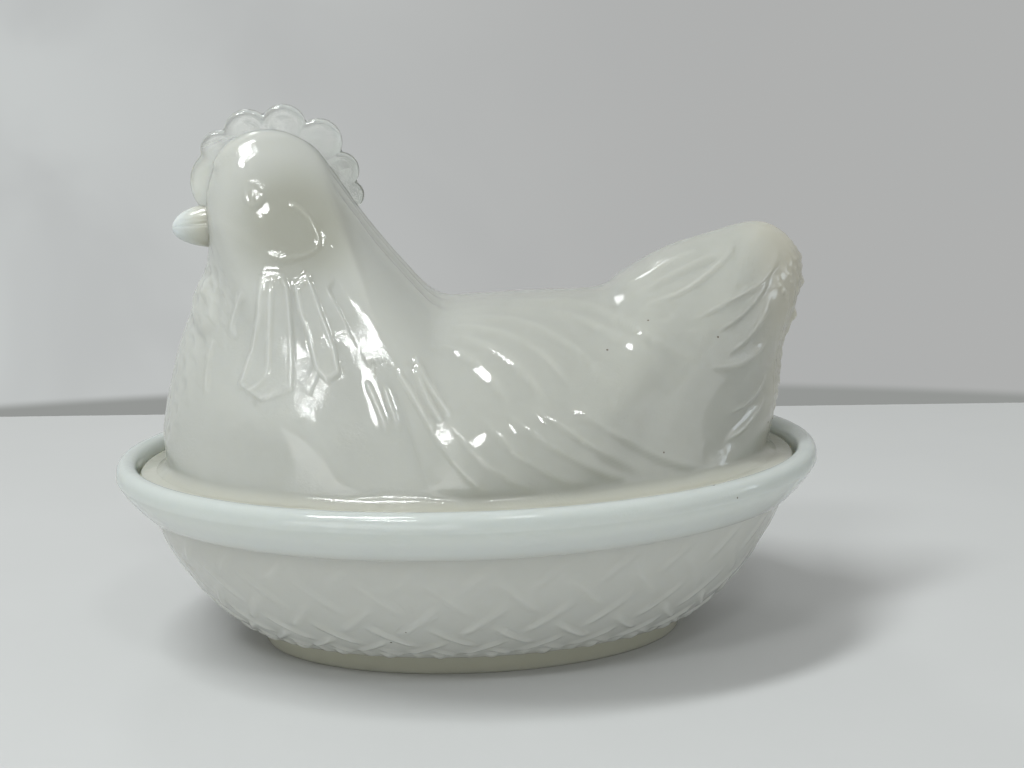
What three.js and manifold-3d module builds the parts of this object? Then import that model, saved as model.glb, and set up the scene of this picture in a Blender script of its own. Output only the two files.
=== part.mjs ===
// Hen on nest dish in opal white pressed glass: an oval basket dish and the hen lid that lifts off it.
// Millimetres, +Z up. The origin is the centre of the dish's foot, on the surface it stands on.
// The hen faces -X. Both pieces are symmetric about the plane Y = 0, where the hen's mould parted.

import * as THREE from 'three';
import { ParametricGeometry } from 'three/addons/geometries/ParametricGeometry.js';
import { mergeVertices } from 'three/addons/utils/BufferGeometryUtils.js';
import Module from 'manifold-3d';

const wasm = await Module();
wasm.setup();

// Dish, outside
const lipLength = 178;
const lipWidth = 140;
const dishHeight = 49.5;
const lipRound = 2.6;
const bandHeight = 12.1;
const bandTuck = 6.5;
const bandCornerInset = 1.2;
const bandStep = 1.5;
const footInset = 35;
const footHeight = 6;
const footDraft = 1;
const basketOverhang = 3.6;
const footRim = 6;
const footRecess = 1.5;

// Dish, inside
const lipThickness = 5.5;
const ledgeDepth = 6.5;
const ledgeWidth = 5;
const wallThickness = 4.8;
const floorThickness = 5;
const floorRound = 6;

// Lid flange, which sits on the dish's ledge
const seatGap = 0.3;
const flangeSideGap = 0.5;
const flangeThickness = 3;
const flangeChamfer = 0.5;

// Hen
const shelfAtEnds = 6.5;
const shelfAtSides = 12;
const henRise = 83.1;
const henWall = 4.5;
const headGlass = 21;
const fanForward = 5;
const fanDepth = 46.3;

// Head details
const combThickness = 4.4;
const beakLength = 17;
const beakRadius = 5.3;
const beakDroop = THREE.MathUtils.degToRad(7);
const cheekThickness = 5;
const wattleThickness = 5;
const faceLean = THREE.MathUtils.degToRad(22);

// Smoothness of the faceted surfaces
const ovalSegments = 72;
const bendSegments = 5;
const wallSegments = 7;
const outlineSteps = 3;
const arcSteps = 9;
const cavityOutlineSteps = 2;
const cavityArcSteps = 7;
const lobeSegments = 14;
const overrun = 4;
const mergeTolerance = 0.0001;

// Sizes that follow
const lipHalfLength = lipLength / 2;
const lipHalfWidth = lipWidth / 2;
const ledgeHeight = dishHeight - ledgeDepth;
const seatHeight = ledgeHeight + seatGap;
const flangeTop = seatHeight + flangeThickness;
const flangeInset = lipThickness + flangeSideGap;
const henHalfLength = lipHalfLength - flangeInset - shelfAtEnds;
const henHalfWidth = lipHalfWidth - flangeInset - shelfAtSides;
const footHalfLength = lipHalfLength - footInset;

// The hen's outline in the plane Y = 0, from the front of the base over the head and back to the tail's base:
// forward place as a share of the hen's half length, height above the flange as a share of its rise, and
// its half width a third and two thirds of the way down from the crest to the foot, as shares of the half
// width at the foot of that section.
const henRowShares = [
  [-1.0, 0.0, 0.31, 0.655],
  [-1.001, 0.129, 0.31, 0.655],
  [-0.945, 0.345, 0.31, 0.655],
  [-0.869, 0.526, 0.295, 0.655],
  [-0.826, 0.646, 0.28, 0.63],
  [-0.821, 0.827, 0.27, 0.56],
  [-0.752, 0.959, 0.255, 0.505],
  [-0.627, 1.0, 0.23, 0.49],
  [-0.484, 0.947, 0.21, 0.52],
  [-0.379, 0.809, 0.215, 0.585],
  [-0.209, 0.61, 0.255, 0.695],
  [-0.098, 0.509, 0.335, 0.775],
  [0.052, 0.483, 0.395, 0.81],
  [0.261, 0.493, 0.405, 0.815],
  [0.471, 0.511, 0.385, 0.8],
  [0.641, 0.604, 0.305, 0.72],
  [0.81, 0.663, 0.265, 0.64],
  [0.98, 0.694, 0.25, 0.585],
  [1.088, 0.634, 0.23, 0.54],
  [1.122, 0.526, 0.22, 0.52],
  [1.064, 0.345, 0.24, 0.55],
  [1.039, 0.177, 0.3, 0.615],
  [1.0, 0.0, 0.3, 0.615],
];

// Comb lobes from the beak back: forward place, height above the flange and radius, in the same shares;
// the radius is a share of the hen's rise.
const combLobeShares = [
  [-0.758, 0.851, 0.108],
  [-0.775, 0.947, 0.057],
  [-0.684, 0.993, 0.07],
  [-0.57, 1.007, 0.069],
  [-0.458, 0.963, 0.069],
  [-0.392, 0.878, 0.055],
  [-0.366, 0.805, 0.043],
];

// Beak root: forward place and height. Cheek and wattle discs: forward place, height, half length, half
// height, and place out from the middle as a share of the hen's half width.
const beakRootShares = [-0.745, 0.722];
const cheekShares = [-0.56, 0.725, 0.105, 0.088, 0.333];
const wattleShares = [-0.735, 0.685, 0.07, 0.075, 0.289];

// Uniform Catmull-Rom value of a list at a fractional place, with the ends carried straight on
function spline(values, place) {
  const last = values.length - 1;
  const index = Math.min(Math.floor(place), last - 1);
  const f = place - index;
  const b = values[index];
  const c = values[index + 1];
  const a = index > 0 ? values[index - 1] : 2 * b - c;
  const d = index < last - 1 ? values[index + 2] : 2 * c - b;
  return b + 0.5 * f * (c - a + f * (2 * a - 5 * b + 4 * c - d + f * (3 * (b - c) + d - a)));
}

const henRows = henRowShares.length - 1;
const columns = henRowShares[0].map((_, k) => henRowShares.map((row) => row[k]));

// A point of the outline, moved in by inset along its normal and held within the plunger's reach
function outlinePoint(place, inset, reach) {
  const at = (p) => new THREE.Vector2(
    spline(columns[0], p) * henHalfLength,
    flangeTop + spline(columns[1], p) * henRise,
  );
  const step = 0.01;
  const ahead = at(Math.min(place + step, henRows));
  const along = ahead.sub(at(Math.max(place - step, 0))).normalize();
  const normal = new THREE.Vector2(-along.y, along.x);
  const point = at(place).addScaledVector(normal, -inset);
  const centre = new THREE.Vector2(fanForward, flangeTop - fanDepth);
  const ray = point.clone().sub(centre);
  const softness = 0.02 * reach;
  const spare = (reach - ray.length()) / softness;
  const held = reach - softness * Math.log1p(Math.exp(spare));
  return centre.addScaledVector(ray.normalize(), held);
}

// Smooth arch that passes through nothing at its crest, the two inner shares and one at its foot
function archShare(q, upperShare, lowerShare) {
  const upper = 13.5 * q * (q - 2 / 3) * (q - 1) * upperShare;
  const lower = -13.5 * q * (q - 1 / 3) * (q - 1) * lowerShare;
  return upper + lower + 4.5 * q * (q - 1 / 3) * (q - 2 / 3);
}

// The hen's dome as a closed solid, from the flange's top down to bottom. Sections fan out from a line
// below the flange; each is an arch whose height runs as one less the square of its place.
function henDome(inset, reach, bottom, stations, steps) {
  const halfLength = henHalfLength - inset;
  const halfWidth = henHalfWidth - inset;
  const centre = new THREE.Vector2(fanForward, flangeTop - fanDepth);
  const columnCount = 2 * steps + 3;
  const shape = (u, v, target) => {
    const place = v * henRows;
    const tip = v < 1e-6 || v > 1 - 1e-6;
    const crown = outlinePoint(place, inset, reach);
    const top = tip ? new THREE.Vector2(Math.sign(crown.x) * halfLength, flangeTop) : crown;
    const slope = (top.x - centre.x) / (top.y - centre.y);
    const footX = centre.x + slope * fanDepth;
    const share = THREE.MathUtils.clamp(footX / halfLength, -1, 1);
    const footWidth = tip ? 0 : halfWidth * Math.sqrt(1 - share * share);
    const column = Math.round(u * columnCount) % columnCount;
    const onDrop = column === 0 || column === columnCount - 1;
    const round = onDrop ? Math.sign(column - 1) : (column - 1 - steps) / steps;
    const q = onDrop ? (column === 0 ? -1 : 1) : round;
    const y = Math.sign(q) * footWidth * archShare(Math.abs(q), spline(columns[2], place), spline(columns[3], place));
    const rise = 1 - q * q;
    target.set(footX + (top.x - footX) * rise, y, onDrop ? bottom : flangeTop + (top.y - flangeTop) * rise);
  };
  return solid(new ParametricGeometry(shape, columnCount, stations));
}

// Closed mesh to manifold, with its faces pointing out
function solid(geometry) {
  const bare = geometry.clone();
  for (const name of Object.keys(bare.attributes)) {
    if (name !== 'position') {
      bare.deleteAttribute(name);
    }
  }
  const merged = mergeVertices(bare, mergeTolerance);
  const corners = [];
  const index = merged.index.array;
  for (let k = 0; k < index.length; k += 3) {
    const [a, b, c] = [index[k], index[k + 1], index[k + 2]];
    if (a !== b && b !== c && c !== a) {
      corners.push(a, b, c);
    }
  }
  const build = (triVerts) => new wasm.Manifold(new wasm.Mesh({
    numProp: 3,
    vertProperties: new Float32Array(merged.attributes.position.array),
    triVerts: new Uint32Array(triVerts),
  }));
  const body = build(corners);
  return body.volume() > 0 ? body : build(corners.slice().reverse());
}

// Lathe profile of inset from the lip and height, spun and pressed into an oval. The inset stays the same
// all round, and inside the foot the oval keeps the foot's proportions.
function ovalSolid(profile) {
  const points = profile.map(([inset, z]) => new THREE.Vector2(Math.max(lipHalfLength - inset, 0), z));
  const geometry = new LatheZ(points, ovalSegments);
  const narrowing = lipHalfLength - lipHalfWidth;
  const position = geometry.attributes.position;
  for (let k = 0; k < position.count; k += 1) {
    const radius = Math.max(Math.hypot(position.getX(k), position.getY(k)), footHalfLength);
    position.setY(k, position.getY(k) * (radius - narrowing) / radius);
  }
  return solid(geometry);
}

// Lathe turned so that its axis is Z
class LatheZ extends THREE.LatheGeometry {
  constructor(points, segments) {
    super(points, segments);
    this.rotateX(Math.PI / 2);
  }
}

// Points of a smooth bend from start to end, drawn towards corner, both ends included
function bend(start, corner, end, segments) {
  const curve = new THREE.QuadraticBezierCurve(
    new THREE.Vector2(...start),
    new THREE.Vector2(...corner),
    new THREE.Vector2(...end),
  );
  return curve.getPoints(segments).map((p) => [p.x, p.y]);
}

function nestDish() {
  const bandBottom = dishHeight - bandHeight;
  const lipShoulder = dishHeight - 1.5 * lipRound;
  const basketTop = bandTuck + bandStep;
  const basketFoot = footInset - footDraft - basketOverhang;
  const basketBelly = [basketTop + 0.29 * (basketFoot - basketTop), footHeight + 0.38 * (bandBottom - footHeight)];
  const floorHeight = footRecess + floorThickness;
  const floorInset = footInset - footDraft;
  const outside = [
    [lipHalfLength, footRecess],
    [footInset + footRim + footRecess, footRecess],
    [footInset + footRim, 0],
    [footInset, 0],
    [footInset - footDraft, footHeight],
    ...bend([basketFoot, footHeight], basketBelly, [basketTop, bandBottom], wallSegments),
    ...bend([bandTuck, bandBottom], [bandCornerInset, bandBottom + 2 * lipRound], [0, lipShoulder], bendSegments),
    ...bend([0, lipShoulder], [0, dishHeight], [lipThickness / 2, dishHeight], bendSegments).slice(1),
  ];
  const ledgeEdge = lipThickness + ledgeWidth;
  const inside = [
    ...bend([lipThickness / 2, dishHeight], [lipThickness, dishHeight], [lipThickness, lipShoulder], bendSegments),
    [lipThickness, ledgeHeight],
    [ledgeEdge, ledgeHeight],
    ...bend(
      [basketTop + wallThickness, bandBottom - wallThickness],
      [basketBelly[0] + wallThickness, basketBelly[1]],
      [floorInset - floorRound / 2, floorHeight + floorRound / 2],
      wallSegments,
    ),
    [floorInset + floorRound / 2, floorHeight],
    [lipHalfLength, floorHeight],
  ];
  return ovalSolid([...outside, ...inside.slice(1)]);
}

function lidFlange() {
  return ovalSolid([
    [lipHalfLength, seatHeight],
    [flangeInset + flangeChamfer, seatHeight],
    [flangeInset, seatHeight + flangeChamfer],
    [flangeInset, flangeTop - flangeChamfer],
    [flangeInset + flangeChamfer, flangeTop],
    [lipHalfLength, flangeTop],
  ]);
}

// A sphere pressed into an ellipsoid, leaned over and put at a place given in the hen's shares
function pebble(placeShares, halfLength, halfThickness, halfHeight, y, lean) {
  const ball = new THREE.SphereGeometry(1, lobeSegments, lobeSegments / 2);
  ball.scale(halfLength, halfThickness, halfHeight);
  ball.rotateX(lean);
  ball.translate(placeShares[0] * henHalfLength, y, flangeTop + placeShares[1] * henRise);
  return solid(ball);
}

function comb() {
  const lobes = combLobeShares.map(([x, z, radiusShare]) => {
    const radius = radiusShare * henRise;
    return pebble([x, z], radius, combThickness / 2, radius, 0, 0);
  });
  return lobes.reduce((joined, lobe) => joined.add(lobe));
}

// A rounded cone that points forward and a little down from its root inside the head
function beak() {
  const curve = new THREE.QuadraticBezierCurve(
    new THREE.Vector2(beakRadius, 0),
    new THREE.Vector2(beakRadius, 0.75 * beakLength),
    new THREE.Vector2(0, beakLength),
  );
  const profile = [new THREE.Vector2(0, 0), ...curve.getPoints(bendSegments)];
  const cone = new THREE.LatheGeometry(profile, lobeSegments);
  cone.rotateZ(Math.PI / 2 + beakDroop);
  cone.translate(beakRootShares[0] * henHalfLength, 0, flangeTop + beakRootShares[1] * henRise);
  return solid(cone);
}

// A raised disc on each side of the head or throat
function faceDiscs([x, z, lengthShare, heightShare, outShare], thickness) {
  return [-1, 1].map((side) => pebble(
    [x, z],
    lengthShare * henHalfLength,
    thickness / 2,
    heightShare * henRise,
    side * outShare * henHalfWidth,
    side * faceLean,
  ));
}

function henLid() {
  const crownHeight = henRise + fanDepth;
  const reach = Math.hypot(0.627 * henHalfLength + fanForward, crownHeight) - headGlass;
  const farReach = 10 * crownHeight;
  const body = henDome(0, farReach, seatHeight + flangeThickness / 2, henRows * outlineSteps, arcSteps);
  const cavity = henDome(
    henWall,
    reach,
    seatHeight - overrun,
    henRows * cavityOutlineSteps,
    cavityArcSteps,
  );
  const cheeks = faceDiscs(cheekShares, cheekThickness);
  const wattles = faceDiscs(wattleShares, wattleThickness);
  return [beak(), comb(), ...cheeks, ...wattles]
    .reduce((joined, piece) => joined.add(piece), body.add(lidFlange()))
    .subtract(cavity);
}

function meshOf(name, body, material) {
  const { vertProperties, triVerts } = body.getMesh();
  const geometry = new THREE.BufferGeometry();
  geometry.setAttribute('position', new THREE.BufferAttribute(new Float32Array(vertProperties), 3));
  geometry.setIndex(new THREE.BufferAttribute(new Uint32Array(triVerts), 1));
  geometry.computeVertexNormals();
  const mesh = new THREE.Mesh(geometry, material);
  mesh.name = name;
  return mesh;
}

const dishGlass = new THREE.MeshStandardMaterial({ color: 0xdfe5e4, roughness: 0.08, metalness: 0 });
const henGlass = new THREE.MeshStandardMaterial({ color: 0xd9dad2, roughness: 0.08, metalness: 0 });

const henOnNest = new THREE.Group();
henOnNest.add(meshOf('nest_dish', nestDish(), dishGlass));
henOnNest.add(meshOf('hen_lid', henLid(), henGlass));

export default henOnNest;
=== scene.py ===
# Hen on nest dish in opal white pressed glass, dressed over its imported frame.
# +Z up, the hen facing -X. The glass is measured in millimetres until it is placed; materials and
# studio are in metres.

import math

import bmesh
import bpy
import numpy as np
from mathutils import Matrix, Vector


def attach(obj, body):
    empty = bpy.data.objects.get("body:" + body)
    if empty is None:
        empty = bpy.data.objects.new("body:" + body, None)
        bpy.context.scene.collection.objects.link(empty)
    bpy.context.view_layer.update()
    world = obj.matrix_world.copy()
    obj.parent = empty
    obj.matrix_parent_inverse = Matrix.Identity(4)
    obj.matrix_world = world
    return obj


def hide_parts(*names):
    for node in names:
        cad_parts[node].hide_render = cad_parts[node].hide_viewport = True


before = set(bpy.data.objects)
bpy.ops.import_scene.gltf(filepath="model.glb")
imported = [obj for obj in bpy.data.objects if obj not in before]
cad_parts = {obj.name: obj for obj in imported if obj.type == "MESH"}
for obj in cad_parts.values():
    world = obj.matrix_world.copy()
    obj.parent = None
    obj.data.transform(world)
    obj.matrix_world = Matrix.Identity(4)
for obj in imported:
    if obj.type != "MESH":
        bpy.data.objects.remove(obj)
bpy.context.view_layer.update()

MM = 0.001

# Dish, as the frame has it
LIP_HALF_LENGTH = 89.0
LIP_HALF_WIDTH = 70.0
DISH_HEIGHT = 49.5
LIP_ROUND = 2.6
BAND_HEIGHT = 12.1
BAND_TUCK = 6.5
BAND_CORNER_INSET = 1.2
BAND_STEP = 1.5
FOOT_INSET = 35.0
FOOT_HEIGHT = 6.0
FOOT_DRAFT = 1.0
BASKET_OVERHANG = 3.6
FOOT_RIM = 6.0
FOOT_RECESS = 1.5
LIP_THICKNESS = 5.5
LEDGE_DEPTH = 6.5
LEDGE_WIDTH = 5.0
WALL_THICKNESS = 4.8
FLOOR_THICKNESS = 5.0
FLOOR_ROUND = 6.0
FLOOR_INSETS = (60.0, 75.0)
EDGE_ROUND = 0.8

# Small bends of the dish's section, and its points along the wall and round the oval
FOOT_LEAN = 0.1
FOOT_ROUND = 0.7
FOOT_SHELF = 0.9
BELLY_SHARES = (0.29, 0.38)
BAND_ROUND = 0.6
BAND_START = (0.5, 0.25)
LEDGE_ROUND = 0.6
LEDGE_LIP = 0.5
LEDGE_LEAN = 0.2
FLOOR_RISE = 0.5
FLOOR_BEND = 2.0
WALL_STEPS = 74
DISH_STEPS = 620

# Basket weave in relief on the dish's wall. The levels are lengths up the wall, each half a rib's
# spacing on from the one before; the ends are a low end, a rise, a high end and a fall.
WEAVE_COUNT = 30
WEAVE_PHASE = 0.04
WEAVE_RELIEF = 0.55
WEAVE_RIB_SHARE = 0.1
WEAVE_LEVELS = [2.9, 7.0, 12.3, 19.4, 27.4, 35.5, 43.7]
WEAVE_BELOW = -0.35
WEAVE_FADE = 0.6
WEAVE_FADE_START = 9.0
WEAVE_FADE_LENGTH = 15.0
WEAVE_ENDS = (-0.4, 1.2, 38.6, 3.0)

# Hen lid, as the frame has it
SEAT_GAP = 0.3
RIM_GAP = 0.5
SHELF_AT_ENDS = 6.5
SHELF_AT_SIDES = 12.0
SEAT_HEIGHT = DISH_HEIGHT - LEDGE_DEPTH + SEAT_GAP
FLANGE_THICKNESS = 3.0
FLANGE_TOP = SEAT_HEIGHT + FLANGE_THICKNESS
FLANGE_INSET = LIP_THICKNESS + RIM_GAP
FLANGE_EDGE = 0.6
HEN_HALF_LENGTH = LIP_HALF_LENGTH - FLANGE_INSET - SHELF_AT_ENDS
HEN_HALF_WIDTH = LIP_HALF_WIDTH - FLANGE_INSET - SHELF_AT_SIDES
HEN_RISE = 83.1
HEN_WALL = 4.5
HEAD_GLASS = 21.0
FAN_FORWARD = 5.0
FAN_DEPTH = 46.3
FOOT_FILLET = 2.6
# The hollow is held softly within a reach of the fan's centre; the outside has a reach beyond it all.
FAR_REACH = 1500.0
REACH_SOFTNESS = 0.02

# The hen's outline and its widths, as shares of the sizes above: along, up, upper width, lower width
HEN_ROW_SHARES = [
    [-1.0, 0.0, 0.31, 0.655],
    [-1.001, 0.129, 0.31, 0.655],
    [-0.945, 0.345, 0.31, 0.655],
    [-0.869, 0.526, 0.295, 0.655],
    [-0.826, 0.646, 0.28, 0.63],
    [-0.821, 0.827, 0.27, 0.56],
    [-0.752, 0.959, 0.255, 0.505],
    [-0.627, 1.0, 0.23, 0.49],
    [-0.484, 0.947, 0.21, 0.52],
    [-0.379, 0.809, 0.215, 0.585],
    [-0.209, 0.61, 0.255, 0.695],
    [-0.098, 0.509, 0.335, 0.775],
    [0.052, 0.483, 0.395, 0.81],
    [0.261, 0.493, 0.405, 0.815],
    [0.471, 0.511, 0.385, 0.8],
    [0.641, 0.604, 0.305, 0.72],
    [0.81, 0.663, 0.265, 0.64],
    [0.98, 0.694, 0.25, 0.585],
    [1.088, 0.634, 0.23, 0.54],
    [1.122, 0.526, 0.22, 0.52],
    [1.064, 0.345, 0.24, 0.55],
    [1.039, 0.177, 0.3, 0.615],
    [1.0, 0.0, 0.3, 0.615],
]
HEAD_ROW = 7
# Beads of the comb: along, up, radius
COMB_LOBE_SHARES = [
    [-0.758, 0.851, 0.108],
    [-0.775, 0.947, 0.057],
    [-0.684, 0.993, 0.07],
    [-0.57, 1.007, 0.069],
    [-0.458, 0.963, 0.069],
    [-0.392, 0.878, 0.055],
    [-0.366, 0.805, 0.043],
]
COMB_HALF_THICKNESS = 2.2
COMB_PILLOW_SHARES = (0.72, 0.28)
COMB_VOXEL = 0.36

# Beak
BEAK_ROOT = -56.0
BEAK_ROOT_DEPTH = 3.0
BEAK_TIP = -72.0
BEAK_HEIGHT = 106.9
BEAK_RADIUS = 5.3
BEAK_NARROWING = 0.72
BEAK_DROOP = 0.8
BEAK_THROAT_SHARE = 0.22
BEAK_POWERS = (3.2, 0.52)
BEAK_MOUTH = 0.55
BEAK_MOUTH_PLACE = 0.12
BEAK_MOUTH_WIDTH = 0.08
BEAK_MOUTH_FADE = 0.4

# Vertices of the hen's two skins, along and round
HEN_GRID = (404, 217)
CAVITY_GRID = (84, 41)
# Where the vertices stand closer: low and high end, soft width, extra weight
ROW_WEIGHTS = [(2.8, 8.2, 1.0, 1.2), (6.8, 11.0, 1.4, 0.6), (15.8, 20.6, 1.0, 0.5)]
ARCH_WEIGHTS = [(0.4, 0.8, 0.1, 0.4)]


# Surface of the hen

ROWS = np.array(HEN_ROW_SHARES)
LAST_ROW = len(ROWS) - 1


def spline(values, place):
    """A smooth curve through evenly spaced values."""
    last = len(values) - 1
    index = np.minimum(np.floor(place).astype(int), last - 1)
    f = place - index
    b = values[index]
    c = values[index + 1]
    a = np.where(index > 0, values[np.maximum(index - 1, 0)], 2 * b - c)
    d = np.where(index < last - 1, values[np.minimum(index + 2, last)], 2 * c - b)
    return b + 0.5 * f * (c - a + f * (2 * a - 5 * b + 4 * c - d + f * (3 * (b - c) + d - a)))


def arch_share(q, upper, lower):
    """Width from 0 at the top to 1 at the foot, with the upper and lower widths at the thirds of q."""
    first = 13.5 * q * (q - 2 / 3) * (q - 1) * upper
    second = -13.5 * q * (q - 1 / 3) * (q - 1) * lower
    return first + second + 4.5 * q * (q - 1 / 3) * (q - 2 / 3)


def outline(place, inset, reach):
    """The hen's outline in side view, moved in by an inset and held within a reach of the centre."""

    def at(p):
        x = spline(ROWS[:, 0], p) * HEN_HALF_LENGTH
        return np.stack([x, FLANGE_TOP + spline(ROWS[:, 1], p) * HEN_RISE], -1)

    step = 0.01
    along = at(np.minimum(place + step, LAST_ROW)) - at(np.maximum(place - step, 0.0))
    along /= np.linalg.norm(along, axis=-1, keepdims=True)
    normal = np.stack([-along[..., 1], along[..., 0]], -1)
    centre = np.array([FAN_FORWARD, FLANGE_TOP - FAN_DEPTH])
    ray = at(place) - normal * inset - centre
    length = np.linalg.norm(ray, axis=-1, keepdims=True)
    softness = REACH_SOFTNESS * reach
    held = reach - softness * np.logaddexp(0.0, (reach - length) / softness)
    return centre + ray / length * held


def hen_point(place, q, inset=0.0, reach=FAR_REACH):
    """Point of the hen's surface in millimetres, for a place along the rows and q round the arch."""
    place, q = np.broadcast_arrays(np.asarray(place, float), np.asarray(q, float))
    half_length = HEN_HALF_LENGTH - inset
    half_width = HEN_HALF_WIDTH - inset
    tip = (place < 1e-6) | (place > LAST_ROW - 1e-6)
    crown = outline(place, inset, reach)
    top_x = np.where(tip, np.sign(crown[..., 0]) * half_length, crown[..., 0])
    top_z = np.where(tip, FLANGE_TOP, crown[..., 1])
    slope = (top_x - FAN_FORWARD) / (top_z - FLANGE_TOP + FAN_DEPTH)
    foot_x = FAN_FORWARD + slope * FAN_DEPTH
    share = np.clip(foot_x / half_length, -1, 1)
    foot_width = half_width * np.sqrt(1 - share**2)
    widths = arch_share(np.abs(q), spline(ROWS[:, 2], place), spline(ROWS[:, 3], place))
    rise = 1 - q**2
    x = foot_x + (top_x - foot_x) * rise
    z = FLANGE_TOP + (top_z - FLANGE_TOP) * rise
    return np.stack([x, np.sign(q) * foot_width * widths, z], -1)


def hen_normal(place, q):
    step = 0.004
    a = hen_point(np.minimum(place + step, LAST_ROW), q) - hen_point(np.maximum(place - step, 0), q)
    b = hen_point(place, np.minimum(q + step, 1)) - hen_point(place, np.maximum(q - step, -1))
    n = np.cross(a, b)
    n /= np.linalg.norm(n, axis=-1, keepdims=True) + 1e-9
    centre = np.array([FAN_FORWARD, 0.0, FLANGE_TOP - FAN_DEPTH])
    outward = np.sum(n * (hen_point(place, q) - centre), axis=-1, keepdims=True)
    return n * np.where(outward < 0, -1.0, 1.0)


def smooth_step(value):
    t = np.clip(value, 0.0, 1.0)
    return t * t * (3 - 2 * t)


def between(value, low, rise, high, fall):
    """0 outside low and high, and 1 between them after its rise and before its fall."""
    return smooth_step((value - low) / rise) * smooth_step((high - value) / fall)


def window(value, low, high, soft):
    """1 between low and high, falling to 0 over a soft width outside them."""
    return smooth_step((value - low) / soft + 1) * smooth_step((high - value) / soft + 1)


def nearest(x, z, line):
    """Distance to a line of straight runs, side of it, and place along it from 0 to 1."""
    best = np.full(x.shape, 1e9)
    side = np.zeros(x.shape)
    along = np.zeros(x.shape)
    count = len(line) - 1
    for k in range(count):
        ax, az = line[k]
        dx = line[k + 1][0] - ax
        dz = line[k + 1][1] - az
        t = np.clip(((x - ax) * dx + (z - az) * dz) / (dx * dx + dz * dz), 0, 1)
        ex = x - ax - t * dx
        ez = z - az - t * dz
        distance = np.hypot(ex, ez)
        closer = distance < best
        best = np.where(closer, distance, best)
        side = np.where(closer, np.sign(dx * ez - dz * ex), side)
        along = np.where(closer, (k + t) / count, along)
    return best, side, along


def stroke(x, z, points):
    """The same for a smooth line through a few points."""
    knots = np.array(points, float)
    samples = np.linspace(0, len(knots) - 1, 4 * (len(knots) - 1) + 1)
    return nearest(x, z, np.stack([spline(knots[:, 0], samples), spline(knots[:, 1], samples)], -1))


def depth_inside(x, z, corners):
    """Distance to a closed outline, positive inside it."""
    closed = corners + corners[:1]
    distance = nearest(x, z, closed)[0]
    inside = np.zeros(x.shape, bool)
    for (ax, az), (bx, bz) in zip(closed, closed[1:]):
        if az != bz:
            inside ^= ((az > z) != (bz > z)) & (x < (bx - ax) * (z - az) / (bz - az) + ax)
    return np.where(inside, distance, -distance)


# Feathers, drawn in the hen's side view as points (x, z) in millimetres. A feather's relief is its
# height and the widths of its lower and upper side; a line's relief is its height and width.

# Long feathers that fan from the shoulder over the back; each line runs to the feather's tip.
BACK_RELIEF = (0.62, 0.9, 2.8)
BACK_LINES = [
    [(-9, 86), (3, 85.8), (16, 86), (26, 86), (32, 84.8), (40, 81.4), (49, 75.7), (57, 69)],
    [(-11, 84.8), (0, 84.6), (9, 84.6), (22, 84.3), (31, 81.7), (40, 77), (48, 69)],
    [(-12, 83.6), (2.5, 83), (12, 82.4), (21, 79.6), (27, 75.5), (33, 68.5)],
    [(-12, 82.4), (2, 81), (11.4, 79), (18, 75.3), (25, 68.5)],
    [(-11, 81), (0, 79.2), (8, 76), (13, 72), (19, 65.5)],
    [(-11, 79.6), (-3, 77.2), (3.5, 72.8), (9, 66.5)],
]
WING_RELIEF = (0.45, 0.8, 2.2)
WING_LINES = [
    [(17, 70), (28.4, 62.6), (38, 56.2), (48, 51), (55, 48.6)],
    [(10, 68.6), (22, 61), (30, 55.5), (40, 49.4)],
    [(3, 68), (12.5, 61.5), (20.5, 56.5), (30, 51), (38, 48)],
    [(-1, 67), (7.6, 58.6), (16, 52.8), (26, 48.4)],
    [(-8, 66), (0, 57.5), (6.3, 52.6), (13, 48.6)],
    [(-13, 66), (-6.4, 57.6), (-2, 52.4), (2, 49)],
]
SHOULDER_RELIEF = (0.4, 0.6)
SHOULDER_LINES = [
    [(-24.6, 71.8), (-22.9, 68.4), (-20.2, 61.5)],
    [(-20.4, 70.4), (-19, 66.4), (-17.6, 62.4)],
    [(-17.6, 75), (-13.4, 68.3), (-9.2, 61.5)],
    [(-13.8, 75.4), (-11, 68.8), (-7.8, 63.6)],
    [(-14, 77.6), (-10.6, 71.5), (-5.6, 65)],
]
# Raised petals of the neck, closed outlines; the ridge parts the first of them lengthways.
PETAL_HEIGHT = 0.4
PETAL_STEP = 0.6
PETAL_RIM = (0.36, 0.38)
NECK_PETALS = [
    [(-53.9, 71.6), (-51, 80.3), (-49.4, 88), (-48.8, 95.6), (-46.6, 96.4), (-44, 96.2), (-42.8, 93.4),
     (-42.3, 86), (-41.9, 78.5), (-42, 71.4), (-49, 68.8)],
    [(-36.2, 75.2), (-38, 82.5), (-39.9, 88.2), (-40.8, 93.8), (-38.2, 96), (-37, 93.3), (-34.7, 86.6),
     (-32.3, 80), (-31.3, 74.6), (-33.8, 72.6)],
]
NECK_LINE_RELIEF = (0.34, 0.45)
NECK_RIDGE = [(-46.4, 95.4), (-46.8, 87.4), (-47.1, 80.5), (-47.4, 75), (-49, 72.2), (-53, 69.4)]
NECK_TAIL = [(-36.2, 75), (-37.2, 72.6), (-38.6, 69.6)]
# A flat facet beside the petals, sunk from its edge; the slope lessens along the edge.
NECK_FACET_SLOPE = 0.19
NECK_FACET_TURN = 0.28
NECK_FACET = [(-31.6, 95.8), (-33.2, 93), (-30.4, 87.6), (-27.8, 81.9), (-24.6, 76.4), (-19.4, 77.6),
              (-22.6, 82.4), (-26.9, 88)]
NECK_FACET_EDGE = [(-31.6, 96.4), (-26.9, 88), (-22.6, 82.4), (-18.8, 76.8)]
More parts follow.
